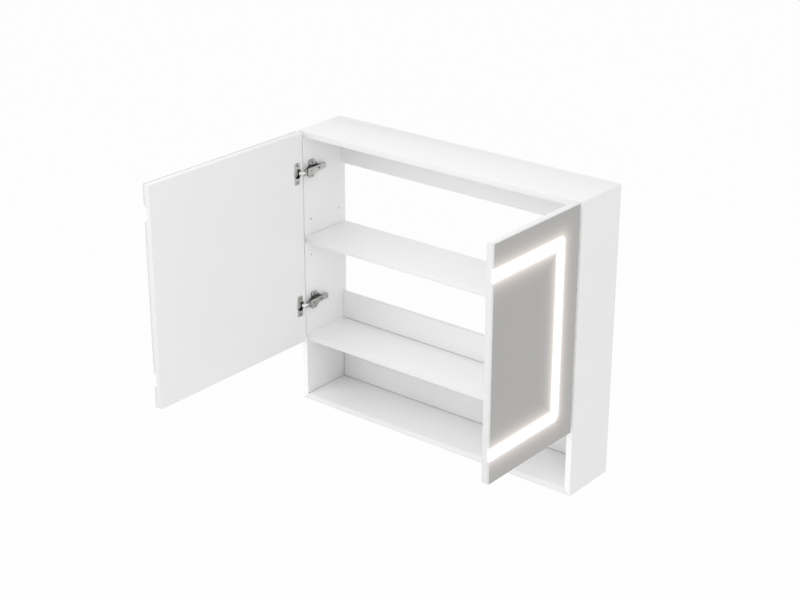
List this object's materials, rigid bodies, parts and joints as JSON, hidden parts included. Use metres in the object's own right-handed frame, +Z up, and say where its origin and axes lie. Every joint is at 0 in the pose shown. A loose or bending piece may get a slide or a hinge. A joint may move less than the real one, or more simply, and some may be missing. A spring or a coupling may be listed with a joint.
{
  "type": "bathroom mirror cabinet",
  "caption": "Wall-hung bathroom mirror cabinet with a wide and a narrow lit mirror door standing open, an adjustable shelf, a fixed shelf and an open niche below.",
  "frame": {"origin": "midway between the entry circles of the two keyhole hangers, in the plane of the wall", "axes": "+X to the right as seen from the front, +Y towards the wall, +Z up"},
  "size_m": [0.8, 0.648, 0.7],
  "materials": {
    "white_carcass_board": "white satin melamine on particle board",
    "white_door_board": "white satin melamine on particle board",
    "mirror": "silvered float glass",
    "frosted_lit_glass": "etched, lit from behind",
    "opal_diffuser": "opal",
    "light_strip": "white board with light chips",
    "driver_case": "moulded",
    "lead_sheath": "smooth",
    "grommet": "moulded",
    "dowel_wood": "plain beech",
    "damper_plastic": "moulded",
    "pivot_steel": "plain",
    "nickel_plated_steel": "nickel plated"
  },
  "bodies": {
    "cabinet": {"left_side_panel": "white_carcass_board", "right_side_panel": "white_carcass_board", "top_panel": "white_carcass_board", "bottom_panel": "white_carcass_board", "fixed_shelf": "white_carcass_board", "niche_back_panel": "white_carcass_board", "lower_back_rail": "white_carcass_board", "hanging_rail": "white_carcass_board", "shelf_pins": "nickel_plated_steel", "joint_dowels": "dowel_wood", "cam_bolts": "nickel_plated_steel", "cam_locks": "nickel_plated_steel", "keyhole_hangers": "nickel_plated_steel", "hanger_screws": "nickel_plated_steel", "mounting_plates": "nickel_plated_steel", "plate_screws": "nickel_plated_steel", "hinge_arms": "nickel_plated_steel", "side_adjusting_screws": "nickel_plated_steel", "arm_fixing_screws": "nickel_plated_steel", "arm_pivot_pins": "pivot_steel", "lever_pins": "pivot_steel"},
    "adjustable_shelf": {"adjustable_shelf": "white_carcass_board"},
    "left_lower_release_lever": {"left_lower_release_lever": "nickel_plated_steel"},
    "left_upper_release_lever": {"left_upper_release_lever": "nickel_plated_steel"},
    "right_lower_release_lever": {"right_lower_release_lever": "nickel_plated_steel"},
    "right_upper_release_lever": {"right_upper_release_lever": "nickel_plated_steel"},
    "left_outer_links": {"left_outer_links": "nickel_plated_steel"},
    "left_inner_links": {"left_inner_links": "nickel_plated_steel", "left_link_pins": "pivot_steel"},
    "left_door": {"left_door_board": "white_door_board", "left_mirror_glass": "mirror", "left_frosted_band": "frosted_lit_glass", "left_diffuser": "opal_diffuser", "left_light_strip": "light_strip", "left_driver": "driver_case", "left_leads": "lead_sheath", "left_lead_grommet": "grommet", "left_hinge_cups": "nickel_plated_steel", "left_cup_dampers": "damper_plastic", "left_cup_screws": "nickel_plated_steel", "left_cup_pins": "pivot_steel"},
    "right_outer_links": {"right_outer_links": "nickel_plated_steel"},
    "right_inner_links": {"right_inner_links": "nickel_plated_steel", "right_link_pins": "pivot_steel"},
    "right_door": {"right_door_board": "white_door_board", "right_mirror_glass": "mirror", "right_frosted_band": "frosted_lit_glass", "right_diffuser": "opal_diffuser", "right_light_strip": "light_strip", "right_driver": "driver_case", "right_leads": "lead_sheath", "right_lead_grommet": "grommet", "right_hinge_cups": "nickel_plated_steel", "right_cup_dampers": "damper_plastic", "right_cup_screws": "nickel_plated_steel", "right_cup_pins": "pivot_steel"}
  },
  "joints": [
    {"name": "shelf_lift", "type": "slide", "parent": "cabinet", "child": "adjustable_shelf", "axis": [0, 0, 1], "range_m": [0, 0.03]},
    {"name": "left_outer_link_turn", "type": "hinge", "parent": "cabinet", "child": "left_outer_links", "pos_m": [-0.37562, -0.15351, -0.1975], "axis": [0, 0, 1], "range_deg": [-56.22, 6.26]},
    {"name": "left_inner_link_turn", "type": "hinge", "parent": "cabinet", "child": "left_inner_links", "pos_m": [-0.37403, -0.15832, -0.1975], "axis": [0, 0, 1], "range_deg": [-82.37, 9.17]},
    {"name": "left_door_swing", "type": "hinge", "parent": "left_outer_links", "child": "left_door", "pos_m": [-0.3833, -0.1664, -0.1975], "axis": [0, 0, 1], "range_deg": [-16.24, 146.19]},
    {"name": "right_outer_link_turn", "type": "hinge", "parent": "cabinet", "child": "right_outer_links", "pos_m": [0.37562, -0.15351, -0.1975], "axis": [0, 0, -1], "range_deg": [-56.22, 6.26]},
    {"name": "right_inner_link_turn", "type": "hinge", "parent": "cabinet", "child": "right_inner_links", "pos_m": [0.37403, -0.15832, -0.1975], "axis": [0, 0, -1], "range_deg": [-82.37, 9.17]},
    {"name": "right_door_swing", "type": "hinge", "parent": "right_outer_links", "child": "right_door", "pos_m": [0.3833, -0.1664, -0.1975], "axis": [0, 0, -1], "range_deg": [-16.24, 146.19]},
    {"name": "left_lower_lever_press", "type": "hinge", "parent": "cabinet", "child": "left_lower_release_lever", "pos_m": [-0.3785, -0.1016, -0.367], "axis": [0, 0, 1], "range_deg": [0, 8], "stiffness_Nm_per_rad": 0.05},
    {"name": "left_upper_lever_press", "type": "hinge", "parent": "cabinet", "child": "left_upper_release_lever", "pos_m": [-0.3785, -0.1016, -0.028], "axis": [0, 0, 1], "range_deg": [0, 8], "stiffness_Nm_per_rad": 0.05},
    {"name": "right_lower_lever_press", "type": "hinge", "parent": "cabinet", "child": "right_lower_release_lever", "pos_m": [0.3785, -0.1016, -0.367], "axis": [0, 0, -1], "range_deg": [0, 8], "stiffness_Nm_per_rad": 0.05},
    {"name": "right_upper_lever_press", "type": "hinge", "parent": "cabinet", "child": "right_upper_release_lever", "pos_m": [0.3785, -0.1016, -0.028], "axis": [0, 0, -1], "range_deg": [0, 8], "stiffness_Nm_per_rad": 0.05}
  ],
  "couplings": [
    {"joint": "left_outer_link_turn", "follows": "left_door_swing", "ratio": -0.38439},
    {"joint": "left_inner_link_turn", "follows": "left_door_swing", "ratio": -0.5633},
    {"joint": "right_outer_link_turn", "follows": "right_door_swing", "ratio": -0.38439},
    {"joint": "right_inner_link_turn", "follows": "right_door_swing", "ratio": -0.5633}
  ]
}
